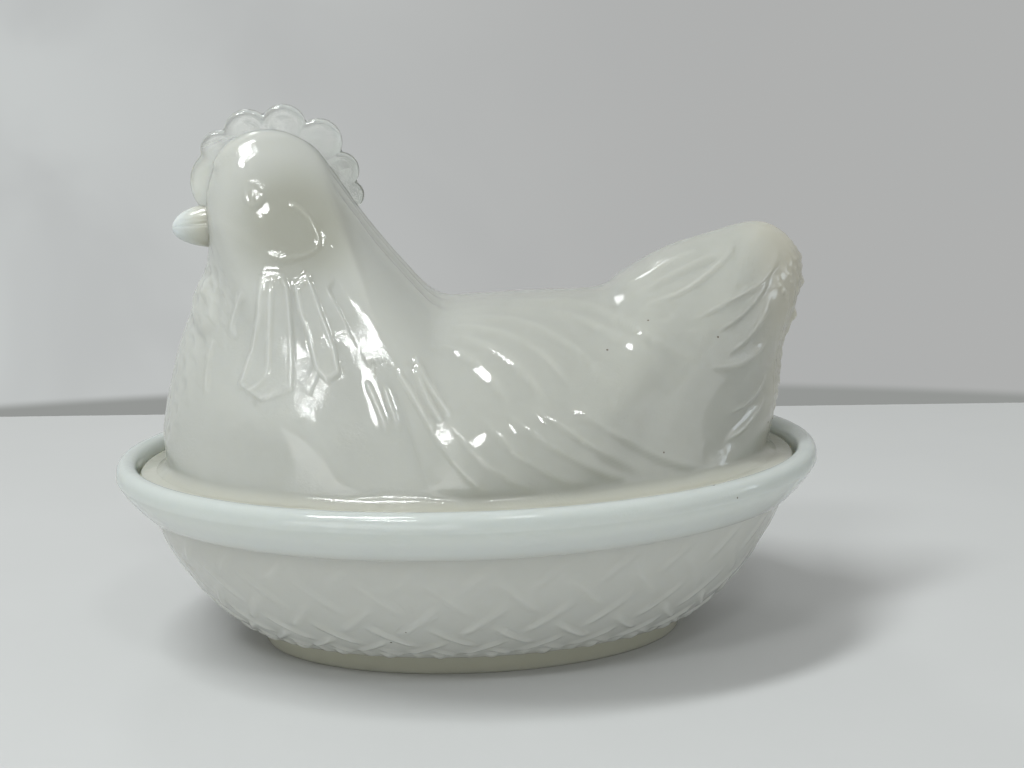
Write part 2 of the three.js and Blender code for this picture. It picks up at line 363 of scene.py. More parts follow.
# Low swellings: place, length and rise of the slope, height. They fade towards the middle plane.
SWELL_START = 0.1
SWELL_RISE = 0.3
SWELLS = [
    (-9, 60, 20, 22, 1.2),
    (7, 82, 12, 10, 1.3),
    (-48, 64.5, 14, 9, 1.5),
    (-48.5, 91, 7, 6, 0.7),
    (-29, 62, 10, 8, 0.7),
    (-33, 73, 5, 6, 0.8),
]
THROAT_RELIEF = (0.35, 0.6)
THROAT_LINES = [
    [(-63.8, 90.2), (-61.6, 94.6), (-59.6, 91.2)],
    [(-53.2, 92.6), (-56.2, 85), (-55.4, 81.4)],
    [(-61, 81), (-62.6, 74), (-62.8, 68)],
]
TAIL_TOP_RELIEF = (0.8, 0.9, 3.0)
TAIL_TOP_LINES = [
    [(34, 85), (42, 88.8), (50, 92.6), (58, 95.8), (66, 98)],
    [(37, 87.6), (44, 91.4), (52, 95.4), (60, 98.4)],
]
TAIL_RELIEF = (0.6, 0.55, 1.5)
TAIL_LINES = [
    [(40, 86.4), (50, 88.6), (58, 92.6), (64.6, 97.3), (66.6, 101.4)],
    [(52, 82.6), (62, 86.6), (70, 89.6), (76, 94), (79, 99)],
    [(58, 80), (64, 82.4), (70, 86.5), (76, 93)],
    [(60, 73.6), (67, 77.6), (72, 82), (75, 88)],
    [(56, 72.6), (62, 71.6), (69, 73), (75, 78)],
    [(60, 60.6), (66, 61.4), (70, 63.6), (74, 68)],
    [(60, 54), (65, 55.6), (70, 59), (73, 63)],
]
HEAD_RIDGE_RELIEF = (0.55, 1.5)
HEAD_RIDGE = [(-61, 120.4), (-59, 123.6), (-54.7, 126.4), (-49.3, 128), (-42.3, 128), (-35.6, 123.6),
              (-31.2, 116.7), (-27.4, 108), (-22.2, 98)]
CHEEK_LINE_RELIEF = (0.3, 0.5)
CHEEK_LINE = [(-42.4, 112.9), (-39, 110.8), (-36.5, 107.6), (-35.3, 103.3), (-37.4, 101.4),
              (-41, 100.4), (-44.6, 100.2), (-48.3, 101.4)]
CHIN_RELIEF = (0.15, 1.6)
CHIN_FOLD = [(-61.5, 107.6), (-56.8, 107.1), (-52.7, 104.9), (-49, 101.6), (-48.6, 98.6)]
# Raised discs: place, half length and half rise, height, and the width of their edge
CHEEK = (-42.8, 106.4, 7.4, 6.2, 0.1, 3.0)
WATTLE = (-63.6, 88.2, 3.6, 5.8, 0.9, 2.0)
# The wattle parts at the middle plane: start and rise
WATTLE_PARTING = (0.6, 2.2)
# Heights and widths of the eye's ring and its pupil
EYE_PLACE = (-50.6, 114.3)
EYE_RADIUS = 1.7
EYE_RING = (0.3, 0.45)
EYE_PUPIL = (0.45, 0.75)

# Details by row and round the arch. Rows are a low end, a rise, a high end and a fall; levels are
# places round the arch with heights; beads are rows with heights; waves are swings with their rates.
NAPE_ROWS = (8.3, 0.5, 11.4, 0.9)
NAPE_WIDTH = 0.03
NAPE_LEVELS = [(0.09, 0.45), (0.18, 0.55), (0.29, 0.45)]
TAIL_ROWS = (17.6, 0.6, 21.9, 0.8)
TAIL_WIDTH = 0.012
TAIL_WAVES = [(0.01, 5.1, 0.0), (0.008, 17.0, 9.0)]
TAIL_BREAKS = (0.65, 0.35, 23.0, 40.0)
TAIL_LEVELS = [(0.035, 0.35), (0.08, 0.45), (0.13, 0.4), (0.18, 0.5), (0.24, 0.4), (0.31, 0.35),
               (0.39, 0.3)]
BEAD_LENGTH = 0.12
BEAD_WIDTH = 0.055
TAIL_BEADS = [(18.5, 0.7), (19.14, 1.5), (19.66, 2.3), (19.88, 1.5), (20.08, 0.8), (20.7, 0.8)]
BREAST_ROWS = (0.5, 0.6, 4.7, 0.9)
BREAST_SIDE = (0.52, 0.16)
SCALE_ROWS = 2.6
SCALE_COLUMNS = 5.5
SCALE_HEIGHT = 0.42
SCALE_EDGE = 0.12
SCALE_SIDE = 0.3

# Ends of feathers and lines as shares of their length, and the rise of all relief above the flange
FEATHER_ENDS = (0.0, 0.25, 1.0, 0.3)
LINE_ENDS = (0.0, 0.06, 1.0, 0.12)
RELIEF_START = 0.5
RELIEF_RISE = 4.0


def feather_edge(x, z, line, height, steep, gentle):
    """A feather's raised edge: a sharp step on its lower side, and a slow fall on its upper side."""
    distance, side, along = stroke(x, z, line)
    ends = between(along, *FEATHER_ENDS)
    upper = np.exp(-distance / gentle)
    lower = np.exp(-((distance / steep) ** 2))
    return height * ends * np.where(side > 0, upper, lower)


def raised_line(x, z, line, height, width):
    distance, _, along = stroke(x, z, line)
    ends = between(along, *LINE_ENDS)
    return height * ends * np.exp(-((distance / width) ** 2))


def raised_petal(x, z, corners):
    depth = depth_inside(x, z, corners)
    rim, width = PETAL_RIM
    return PETAL_HEIGHT * smooth_step(depth / PETAL_STEP + 0.5) + rim * np.exp(-((depth / width) ** 2))


def raised_disc(x, z, disc):
    cx, cz, length, rise, height, edge = disc
    radius = np.hypot((x - cx) / length, (z - cz) / rise)
    return height * smooth_step((1 - radius) * min(length, rise) / edge + 0.5)


def neck_relief(x, z):
    relief = np.zeros(x.shape)
    for corners in NECK_PETALS:
        relief += raised_petal(x, z, corners)
    facet = smooth_step(depth_inside(x, z, NECK_FACET) / PETAL_STEP + 0.5)
    from_edge, _, along = stroke(x, z, NECK_FACET_EDGE)
    relief -= facet * from_edge * (NECK_FACET_SLOPE - NECK_FACET_TURN * along)
    for line in (NECK_RIDGE, NECK_TAIL):
        relief += raised_line(x, z, line, *NECK_LINE_RELIEF)
    for line in SHOULDER_LINES:
        relief += raised_line(x, z, line, *SHOULDER_RELIEF)
    for line in THROAT_LINES:
        relief += raised_line(x, z, line, *THROAT_RELIEF)
    return relief


def eye_relief(x, z):
    from_eye = np.hypot(x - EYE_PLACE[0], z - EYE_PLACE[1])
    ring, ring_width = EYE_RING
    pupil, pupil_width = EYE_PUPIL
    raised_ring = ring * np.exp(-(((from_eye - EYE_RADIUS) / ring_width) ** 2))
    return raised_ring, pupil * np.exp(-((from_eye / pupil_width) ** 2))


def head_relief(x, y, z):
    relief = raised_line(x, z, HEAD_RIDGE, *HEAD_RIDGE_RELIEF)
    relief += raised_line(x, z, CHEEK_LINE, *CHEEK_LINE_RELIEF)
    relief += raised_disc(x, z, CHEEK)
    relief += raised_line(x, z, CHIN_FOLD, *CHIN_RELIEF)
    start, rise = WATTLE_PARTING
    relief += smooth_step((np.abs(y) - start) / rise) * raised_disc(x, z, WATTLE)
    ring, pupil = eye_relief(x, z)
    return relief + ring + pupil


def levels_relief(q, levels, width):
    relief = np.zeros(q.shape)
    for level, height in levels:
        relief += height * np.exp(-(((np.abs(q) - level) / width) ** 2))
    return relief


def nape_relief(place, q):
    return between(place, *NAPE_ROWS) * levels_relief(q, NAPE_LEVELS, NAPE_WIDTH)


def tail_curls(place, q):
    """Wavy broken ridges down the tail's rear."""
    wavy = q
    for swing, by_place, by_q in TAIL_WAVES:
        wavy = wavy + swing * np.sin(by_place * place + by_q * q)
    base, swing, by_place, by_q = TAIL_BREAKS
    broken = base + swing * np.sin(by_place * place + by_q * q)
    return between(place, *TAIL_ROWS) * broken * levels_relief(wavy, TAIL_LEVELS, TAIL_WIDTH)


def tail_relief(x, z, place, q):
    relief = np.zeros(x.shape)
    for line in TAIL_LINES:
        relief += feather_edge(x, z, line, *TAIL_RELIEF)
    for line in TAIL_TOP_LINES:
        relief += feather_edge(x, z, line, *TAIL_TOP_RELIEF)
    relief += tail_curls(place, np.abs(q))
    for bead, height in TAIL_BEADS:
        relief += height * np.exp(-(((place - bead) / BEAD_LENGTH) ** 2) - (q / BEAD_WIDTH) ** 2)
    return relief


def breast_relief(place, q):
    """Soft overlapping scales down the breast, each with its free edge at its lower end."""
    column = q * SCALE_COLUMNS
    row = place * SCALE_ROWS
    side, fall = BREAST_SIDE
    mask = between(place, *BREAST_ROWS) * smooth_step((side - np.abs(q)) / fall)
    relief = np.zeros(place.shape)
    for shift in (0.0, 0.5):
        across = 2 * (column + shift - np.rint(column + shift))
        down = (row + shift + 0.5 * across**2) % 1.0
        step = (1 - down) * smooth_step(down / SCALE_EDGE)
        relief = np.maximum(relief, step * smooth_step((1 - np.abs(across)) / SCALE_SIDE))
    return SCALE_HEIGHT * mask * relief


def swell_relief(x, z):
    relief = np.zeros(x.shape)
    for middle_x, middle_z, length, rise, height in SWELLS:
        reach = ((x - middle_x) / length) ** 2 + ((z - middle_z) / rise) ** 2
        relief += height * np.exp(-reach)
    return relief


def hen_relief(points, place, q):
    """How far the moulded detail stands out of the hen's plain form, in millimetres."""
    x = points[..., 0]
    y = points[..., 1]
    z = points[..., 2]
    swells = swell_relief(x, z) * smooth_step((np.abs(q) - SWELL_START) / SWELL_RISE)
    relief = neck_relief(x, z) + head_relief(x, y, z) + tail_relief(x, z, place, q)
    relief += nape_relief(place, q) + breast_relief(place, q)
    for line in BACK_LINES:
        relief += feather_edge(x, z, line, *BACK_RELIEF)
    for line in WING_LINES:
        relief += feather_edge(x, z, line, *WING_RELIEF)
    return (relief + swells) * smooth_step((z - FLANGE_TOP - RELIEF_START) / RELIEF_RISE)


# Meshes


def new_piece(name, bm, body, node, material):
    """Finishes a mesh as a smooth piece that rides on a body and stands for a node of the frame."""
    bmesh.ops.recalc_face_normals(bm, faces=bm.faces)
    mesh = bpy.data.meshes.new(name)
    bm.to_mesh(mesh)
    bm.free()
    mesh.shade_smooth()
    piece = bpy.data.objects.new(name, mesh)
    bpy.context.scene.collection.objects.link(piece)
    mesh.materials.append(material)
    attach(piece, body)
    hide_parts(node)
    return piece


def detail_weight(places, weights):
    weight = np.ones(places.shape)
    for low, high, soft, extra in weights:
        weight += extra * window(places, low, high, soft)
    return weight


def even_places(low, high, count, points_at, weights):
    """Places along the rows or an arch, even over the surface but closer where detail is fine."""
    fine = np.linspace(low, high, 3000)
    gaps = np.zeros(len(fine) - 1)
    for points in points_at(fine):
        gaps += np.sum(np.diff(points, axis=0) ** 2, axis=1)
    gaps = np.sqrt(gaps) * detail_weight((fine[1:] + fine[:-1]) / 2, weights)
    length = np.concatenate([[0], np.cumsum(gaps)])
    places = np.interp(np.linspace(0, length[-1], count), length, fine)
    places[0] = low
    places[-1] = high
    return places


def row_places(count, inset, reach):
    def points_at(fine):
        return [hen_point(fine, q, inset, reach) for q in (0.0, 0.6, 1.0)]

    return even_places(0.0, float(LAST_ROW), count, points_at, ROW_WEIGHTS)


def arch_places(count, inset, reach):
    def points_at(fine):
        return [hen_point(row, fine, inset, reach) for row in (4.0, 8.0, 14.0, 18.0)]

    half = even_places(0.0, 1.0, count // 2 + 1, points_at, ARCH_WEIGHTS)
    return np.concatenate([-half[::-1], half[1:]])


def sheet(bm, columns, rows):
    """A flat grid, with each vertex's column and row numbers."""
    made = bmesh.ops.create_grid(bm, x_segments=columns - 1, y_segments=rows - 1, size=1.0)["verts"]
    flat = np.array([v.co[:2] for v in made])
    column = np.rint((flat[:, 0] + 1) / 2 * (columns - 1)).astype(int)
    row = np.rint((flat[:, 1] + 1) / 2 * (rows - 1)).astype(int)
    return made, column, row


def place_verts(verts, points):
    for vert, point in zip(verts, (points * MM).tolist()):
        vert.co = point


def detailed_points(points, place, q):
    """The hen's points with their relief, and a fillet where the hen stands on the flange."""
    points = points + hen_normal(place, q) * hen_relief(points, place, q)[:, None]
    lift = np.clip((points[:, 2] - FLANGE_TOP) / FOOT_FILLET, 0, 1)
    across = np.stack([points[:, 0] / HEN_HALF_LENGTH**2, points[:, 1] / HEN_HALF_WIDTH**2], -1)
    across /= np.linalg.norm(across, axis=-1, keepdims=True) + 1e-9
    points[:, :2] += across * (FOOT_FILLET * (1 - lift) ** 2)[:, None]
    return points


def dome_sheet(bm, grid, inset, reach, detailed):
    """A grid laid over the hen's outside or inside; returns its open edges along its foot."""
    stations, arches = grid
    made, column, row = sheet(bm, stations, arches)
    place = row_places(stations, inset, reach)[column]
    q = arch_places(arches, inset, reach)[row]
    points = hen_point(place, q, inset, reach)
    if detailed:
        points = detailed_points(points, place, q)
    place_verts(made, points)
    bmesh.ops.remove_doubles(bm, verts=made, dist=1e-7)
    alive = {v for v in made if v.is_valid}
    return [e for e in bm.edges if e.is_boundary and e.verts[0] in alive]


def oval_ring(bm, edges, half_length, half_width, height):
    """Extrudes an open loop to a new oval, and returns the new open loop."""
    made = bmesh.ops.extrude_edge_only(bm, edges=edges)["geom"]
    new_edges = [g for g in made if isinstance(g, bmesh.types.BMEdge)]
    for vert in [g for g in made if isinstance(g, bmesh.types.BMVert)]:
        angle = math.atan2(vert.co.y / HEN_HALF_WIDTH, vert.co.x / HEN_HALF_LENGTH)
        vert.co = Vector((half_length * math.cos(angle), half_width * math.sin(angle), height)) * MM
    return [e for e in new_edges if e.is_boundary]


def flange_rings():
    """Ovals from the hen's foot round the flange to the mouth of the hollow: half sizes, height."""
    length = LIP_HALF_LENGTH - FLANGE_INSET
    width = LIP_HALF_WIDTH - FLANGE_INSET
    soft = 0.3 * FLANGE_EDGE
    cavity_length = HEN_HALF_LENGTH - HEN_WALL
    cavity_width = HEN_HALF_WIDTH - HEN_WALL
    return [
        (length - FLANGE_EDGE, width - FLANGE_EDGE, FLANGE_TOP),
        (length - soft, width - soft, FLANGE_TOP - soft),
        (length, width, FLANGE_TOP - FLANGE_EDGE),
        (length, width, SEAT_HEIGHT + FLANGE_EDGE),
        (length - soft, width - soft, SEAT_HEIGHT + soft),
        (length - FLANGE_EDGE, width - FLANGE_EDGE, SEAT_HEIGHT),
        (cavity_length + FLANGE_EDGE, cavity_width + FLANGE_EDGE, SEAT_HEIGHT),
        (cavity_length, cavity_width, SEAT_HEIGHT + FLANGE_EDGE),
    ]


def hen_body(material):
    bm = bmesh.new()
    loop = dome_sheet(bm, HEN_GRID, 0.0, FAR_REACH, True)
    for ring in flange_rings():
        loop = oval_ring(bm, loop, *ring)
    head_forward = FAN_FORWARD - ROWS[HEAD_ROW, 0] * HEN_HALF_LENGTH
    reach = math.hypot(head_forward, HEN_RISE + FAN_DEPTH) - HEAD_GLASS
    mouth = dome_sheet(bm, CAVITY_GRID, HEN_WALL, reach, False)
    bmesh.ops.bridge_loops(bm, edges=loop + mouth)
    bmesh.ops.triangulate(bm, faces=[f for f in bm.faces if len(f.verts) > 4])
    new_piece("hen_body", bm, "hen", "hen_lid", material)


def comb_bead(bm, middle, radius):
    """A flat bead with a raised rim round it and a rounded edge."""
    base, rim = COMB_PILLOW_SHARES
    for vert in bmesh.ops.create_uvsphere(bm, u_segments=48, v_segments=24, radius=1.0)["verts"]:
        out = min(math.hypot(vert.co.x, vert.co.z), 1.0)
        pillow = COMB_HALF_THICKNESS * (base + rim * out**3) * (1 - out**6) ** 0.5
        across = math.copysign(pillow, vert.co.y) if abs(vert.co.y) > 1e-6 else 0.0
        vert.co = (middle + Vector((radius * vert.co.x, across, radius * vert.co.z))) * MM


def comb(material):
    """Seven beads of glass in a row, melted into one flat crest."""
    bm = bmesh.new()
    for x_share, z_share, radius_share in COMB_LOBE_SHARES:
        middle = Vector((x_share * HEN_HALF_LENGTH, 0.0, FLANGE_TOP + z_share * HEN_RISE))
        comb_bead(bm, middle, radius_share * HEN_RISE)
    melt(new_piece("hen_comb", bm, "hen", "hen_lid", material), COMB_VOXEL)


def melt(piece, voxel):
    """Joins a piece's overlapping shells into one skin and rounds where they meet."""
    remesh = piece.modifiers.new("join", "REMESH")
    remesh.mode = "VOXEL"
    remesh.voxel_size = voxel * MM
    soften = piece.modifiers.new("soften", "SMOOTH")
    soften.factor = 0.5
    soften.iterations = 4
    graph = bpy.context.evaluated_depsgraph_get()
    joined = bpy.data.meshes.new_from_object(piece.evaluated_get(graph))
    piece.modifiers.clear()
    piece.data = joined
    joined.shade_smooth()


def beak_point(ball):
    """Where a point of a unit ball goes on the beak: its top is the tip, its lower half the root."""
    forward = max(ball.z, 0.0)
    blunt, full = BEAK_POWERS
    girth = (1 - forward**blunt) ** full if ball.z > 0 else math.sqrt(max(1 - ball.z**2, 0))
    around = max(math.hypot(ball.x, ball.y), 1e-9)
    side = ball.x / around
    up = ball.y / around
    groove = BEAK_MOUTH * math.exp(-(((up - BEAK_MOUTH_PLACE) / BEAK_MOUTH_WIDTH) ** 2))
    radius = BEAK_RADIUS * girth - groove * girth * (1 - BEAK_MOUTH_FADE * forward)
    throat = 1.0 + BEAK_THROAT_SHARE * (1 - forward) if up < 0 else 1.0
    x = BEAK_ROOT + (BEAK_TIP - BEAK_ROOT) * forward - BEAK_ROOT_DEPTH * min(ball.z, 0.0)
    z = BEAK_HEIGHT + throat * radius * up - BEAK_DROOP * forward**3
    return Vector((x, BEAK_NARROWING * radius * side, z))


def beak(material):
    """A short blunt beak that thickens towards the throat, with the mouth's line along each side."""
    bm = bmesh.new()
    for vert in bmesh.ops.create_uvsphere(bm, u_segments=96, v_segments=64, radius=1.0)["verts"]:
        vert.co = beak_point(vert.co) * MM
    new_piece("hen_beak", bm, "hen", "hen_lid", material)


def bend(start, corner, end, count):
    """Points of a smooth bend from start to end, drawn towards the corner, both ends included."""
    t = np.linspace(0, 1, count + 1)[:, None]
    return (1 - t) ** 2 * np.array(start) + 2 * t * (1 - t) * np.array(corner) + t**2 * np.array(end)


def wall_curve():
    """The basket wall's curve from foot to band as inset and height, and the point it bends towards."""
    top = BAND_TUCK + BAND_STEP
    foot = FOOT_INSET - FOOT_DRAFT - BASKET_OVERHANG
    band_bottom = DISH_HEIGHT - BAND_HEIGHT
    inward, upward = BELLY_SHARES
    belly = [top + inward * (foot - top), FOOT_HEIGHT + upward * (band_bottom - FOOT_HEIGHT)]
    return bend([foot, FOOT_HEIGHT], belly, [top, band_bottom], WALL_STEPS), belly


def foot_runs(wall_foot):
    rim = FOOT_INSET + FOOT_RIM
    root = FOOT_INSET - FOOT_DRAFT
    top = FOOT_HEIGHT
    e = EDGE_ROUND
    return [
        [[LIP_HALF_LENGTH, FOOT_RECESS], [FLOOR_INSETS[0], FOOT_RECESS], [rim + 2 * e, FOOT_RECESS]],
        bend([rim + 1.25 * e, FOOT_RECESS], [rim + 0.5 * e, 0.0], [rim - e, 0.0], 4),
        bend([FOOT_INSET + e, 0.0], [FOOT_INSET, 0.0], [FOOT_INSET - FOOT_LEAN, e], 3),
        bend([root + FOOT_LEAN, top - FOOT_ROUND], [root, top], [root - FOOT_ROUND, top], 3),
        [[wall_foot + FOOT_SHELF, top]],
    ]


def band_runs():
    bottom = DISH_HEIGHT - BAND_HEIGHT
    shoulder = DISH_HEIGHT - 1.5 * LIP_ROUND
    start = [BAND_TUCK - BAND_START[0], bottom + BAND_START[1]]
    top = [LIP_THICKNESS / 2, DISH_HEIGHT]
    return [
        bend([BAND_TUCK + BAND_ROUND, bottom], [BAND_TUCK, bottom], start, 3),
        bend(start, [BAND_CORNER_INSET, bottom + 2 * LIP_ROUND], [0.0, shoulder], 16)[1:],
        bend([0.0, shoulder], [0.0, DISH_HEIGHT], top, 9)[1:],
        bend(top, [LIP_THICKNESS, DISH_HEIGHT], [LIP_THICKNESS, shoulder], 9)[1:],
    ]


def inside_runs(belly):
    lip = LIP_THICKNESS
    step = lip + LEDGE_WIDTH
    ledge = DISH_HEIGHT - LEDGE_DEPTH
    r = LEDGE_ROUND
    top = [BAND_TUCK + BAND_STEP + WALL_THICKNESS, DISH_HEIGHT - BAND_HEIGHT - WALL_THICKNESS]
    root = FOOT_INSET - FOOT_DRAFT
    floor = FOOT_RECESS + FLOOR_THICKNESS
    corner = [root - FLOOR_ROUND / 2, floor + FLOOR_ROUND / 2]
    flat = [root + FLOOR_ROUND, floor]
    return [
        bend([lip, ledge + r], [lip, ledge], [lip + r, ledge], 3),
        bend([step - LEDGE_LIP, ledge], [step, ledge], [step + LEDGE_LEAN, ledge - r], 3),
        bend(top, [belly[0] + WALL_THICKNESS, belly[1]], corner, 14),
        bend([root, floor + FLOOR_RISE], [root + FLOOR_BEND, floor], flat, 4)[1:],
        [[inset, floor] for inset in (*FLOOR_INSETS, LIP_HALF_LENGTH)],
    ]


def dish_profile():
    """The dish's section from the middle of its underside to the middle of its floor: inset, height."""
    wall, belly = wall_curve()
    runs = foot_runs(wall[0][0]) + [wall] + band_runs() + inside_runs(belly)
    return np.concatenate([np.array(run, float) for run in runs])


def weave_relief(along_wall, angle):
    """Narrow ribs that cross both ways round the wall, each over one and under the next."""
    levels = np.arange(len(WEAVE_LEVELS)) / 2
    height = np.interp(along_wall, WEAVE_LEVELS, levels, left=WEAVE_BELOW)
    turn = angle / (2 * np.pi) * WEAVE_COUNT
    rising = turn - height - WEAVE_PHASE
    falling = turn + height + WEAVE_PHASE
    relief = np.zeros(along_wall.shape)
    for across, length, over in ((rising, falling, 1), (falling, rising, 0)):
        rib = np.rint(across)
        profile = np.exp(-(np.abs((across - rib) / WEAVE_RIB_SHARE) ** 2.6))
        crossing = 0.5 + 0.5 * np.cos(np.pi * (length + rib + over))
        relief = np.maximum(relief, profile * smooth_step(1.5 * crossing))
    fade = 1 - WEAVE_FADE * smooth_step((along_wall - WEAVE_FADE_START) / WEAVE_FADE_LENGTH)
    return WEAVE_RELIEF * relief * fade * between(along_wall, *WEAVE_ENDS)


def woven(profile, row, angle):
    """The section's points at the rows with the weave raised on the wall: distance out, height."""
    inset, height = profile[row].T
    wall, _ = wall_curve()
    lengths = np.concatenate([[0], np.cumsum(np.hypot(*np.diff(wall, axis=0).T))])
    first = int(np.argmin(np.hypot(*(profile - wall[0]).T)))
    on_wall = (row >= first) & (row < first + len(wall))
    slope = np.interp(height, wall[:, 1], np.gradient(wall[:, 0], wall[:, 1]))
    relief = np.where(on_wall, weave_relief(np.interp(height, wall[:, 1], lengths), angle), 0.0)
    lean = np.sqrt(1 + slope**2)
    return LIP_HALF_LENGTH - inset + relief / lean, height + relief * slope / lean


def nest_dish(material):
    """The dish's section carried round its oval; inside the foot all ovals are narrowed alike."""
    bm = bmesh.new()
    profile = dish_profile()
    made, column, row = sheet(bm, DISH_STEPS + 1, len(profile))
    angle = column / DISH_STEPS * 2 * np.pi
    radius, height = woven(profile, row, angle)
    size = np.maximum(radius, LIP_HALF_LENGTH - FOOT_INSET)
    narrowing = (size - (LIP_HALF_LENGTH - LIP_HALF_WIDTH)) / size
    x = radius * np.cos(angle)
    y = radius * np.sin(angle) * narrowing
    place_verts(made, np.stack([x, y, height], -1))
    bmesh.ops.remove_doubles(bm, verts=bm.verts, dist=1e-7)
    new_piece("nest_basket", bm, "nest", "nest_dish", material)


# Materials

# Painted shade on both sides of the head, darker where its hollow lies behind the glass.
HEAD_SHADE_COLOUR = (0.34, 0.345, 0.3)
# Each glass has its two swirled colours and its tints. A tint is an axis, the two places in metres
# between which it comes in, and its colour; most tints are painted shade or light, as marked. A spot of
# painted shade is a point, its reach and its colour.
DISH_GLASS = {
    "pale": (0.57, 0.58, 0.545),
    "deep": (0.535, 0.545, 0.505),
    "tints": [
        # Partly the opal's own bluish band, partly painted light that lifts the band's lower part.
        ("Z", 0.037, 0.04, (0.635, 0.67, 0.65)),
        # Painted shade: the lip's lit top darker, to flatten its shading.
        ("Z", 0.0425, 0.048, (0.455, 0.49, 0.48)),
        # Painted shade: the foot darker and olive under the basket's overhang.
        ("Z", 0.0075, 0.004, (0.43, 0.43, 0.35)),
    ],
}
HEN_GLASS = {
    "pale": (0.485, 0.5, 0.475),
    "deep": (0.44, 0.45, 0.42),
    "tints": [
        # Painted shade: the body darker towards its rear, away from the light.
        ("X", -0.05, 0.03, (0.405, 0.415, 0.382)),
        # Painted light: the tail end lighter and warmer than the shaded rear.
        ("X", 0.066, 0.083, (0.455, 0.445, 0.38)),
        # Painted shade and painted reflection: a warmer tone on the flange and the hen's foot.
        ("Z", 0.05, 0.0455, (0.49, 0.49, 0.42)),
    ],
    # Painted shade spots on both sides of the head.
    "shade_spots": [
        ((-0.04, -0.02, 0.109), 0.021, HEAD_SHADE_COLOUR),
        ((-0.04, 0.02, 0.109), 0.021, HEAD_SHADE_COLOUR),
    ],
}
BEAK_GLASS = {
    "pale": (0.49, 0.49, 0.43),
    "deep": (0.46, 0.46, 0.39),
    "tints": [("X", -0.063, -0.071, (0.5, 0.54, 0.545))],
}
COMB_GLASS = {
    "pale": (0.74, 0.76, 0.725),
    "deep": (0.7, 0.72, 0.675),
    "tints": [("Z", 0.118, 0.13, (0.88, 0.9, 0.87))],
}
# The comb clears with the distance from a point: two distances, and how clear it is at each
COMB_MILKY_MIDDLE = (-0.052, 0.0, 0.104)
COMB_CLEARING = (0.016, 0.026, 0.25, 0.94)
SCATTER_SCALE = 0.008
COMB_SCATTER_SCALE = 0.002
SCATTER_COLOURS = (1.0, 0.96, 0.86)
GLASS_IOR = 1.5

# Noises: scale, detail and, for some, distortion. Ramps: two values in, and two values out.
SWIRL_NOISE = (26.0, 3.0, 1.2)
SEED_SCALE = 95.0
SEED_RAMP = (0.02, 0.034, 1.0, 0.0)
SEED_COLOUR = (0.12, 0.1, 0.07)
WORN_NOISE = (70.0, 2.0)
WORN_RAMP = (0.48, 0.64, 0.12, 0.8)
ROUGHNESS_RAMP = (0.12, 0.8, 0.04, 0.1)
RIPPLE_NOISE = (1500.0, 3.0)
RIPPLE_DEPTH = 0.00007
WAVE_NOISE = (170.0, 2.0)
WAVE_DEPTH = 0.0004
WAVE_STRENGTH = 0.25


def new_material(name):
    """A material with its node tree, its shader, and the place on the object as a node's output."""
    material = bpy.data.materials.new(name)
    material.use_nodes = True
    tree = material.node_tree
    place = tree.nodes.new("ShaderNodeTexCoord").outputs["Object"]
    return material, tree, tree.nodes["Principled BSDF"], place


def add(nodes, kind, **values):
    """A shader node with its inputs set; a name's underscores stand for spaces."""
    node = nodes.new("ShaderNode" + kind)
    for name, value in values.items():
        node.inputs[name.replace("_", " ")].default_value = value
    return node


def blend_colours(tree, factor, first, second):
    """Mixes two colours, each a plain colour or another node's output, by another node's output."""
    mix = add(tree.nodes, "Mix")
    mix.data_type = "RGBA"
    tree.links.new(factor, mix.inputs["Factor"])
    for name, colour in (("A", first), ("B", second)):
        if isinstance(colour, tuple):
            mix.inputs[name].default_value = (*colour, 1)
        else:
            tree.links.new(colour, mix.inputs[name])
    return mix.outputs["Result"]


def ramp(tree, value, low, high, start=0.0, end=1.0):
    """A value that goes smoothly from start to end as another goes from low to high."""
    step = add(tree.nodes, "MapRange", From_Min=low, From_Max=high, To_Min=start, To_Max=end)
    step.interpolation_type = "SMOOTHSTEP"
    tree.links.new(value, step.inputs["Value"])
    return step.outputs["Result"]


def noise(tree, place, scale, detail, distortion=0.0):
    node = add(tree.nodes, "TexNoise", Scale=scale, Detail=detail, Distortion=distortion)
    tree.links.new(place, node.inputs["Vector"])
    return node.outputs["Fac"]


def nearness(tree, place, point, low, high, start, end):
    """A value that goes from start to end as the distance from a point goes from low to high."""
    reach = add(tree.nodes, "VectorMath")
    reach.inputs[1].default_value = point
    reach.operation = "DISTANCE"
    tree.links.new(place, reach.inputs[0])
    return ramp(tree, reach.outputs["Value"], low, high, start, end)


def glass_colour(tree, place, glass):
    """Swirled glass with its tints, mostly painted shade or light, its spots of painted shade, and
    small dark seeds.
    """
    axes = add(tree.nodes, "SeparateXYZ")
    tree.links.new(place, axes.inputs["Vector"])
    colour = blend_colours(tree, noise(tree, place, *SWIRL_NOISE), glass["pale"], glass["deep"])
    for axis, low, high, tint in glass["tints"]:
        colour = blend_colours(tree, ramp(tree, axes.outputs[axis], low, high), colour, tint)
    # Spots of painted shade.
    for point, reach, shade in glass.get("shade_spots", ()):
        close = nearness(tree, place, point, 0.3 * reach, reach, 1.0, 0.0)
        colour = blend_colours(tree, close, colour, shade)
    seeds = add(tree.nodes, "TexVoronoi", Scale=SEED_SCALE)
    tree.links.new(place, seeds.inputs["Vector"])
    speck = ramp(tree, seeds.outputs["Distance"], *SEED_RAMP)
    return blend_colours(tree, speck, colour, SEED_COLOUR)


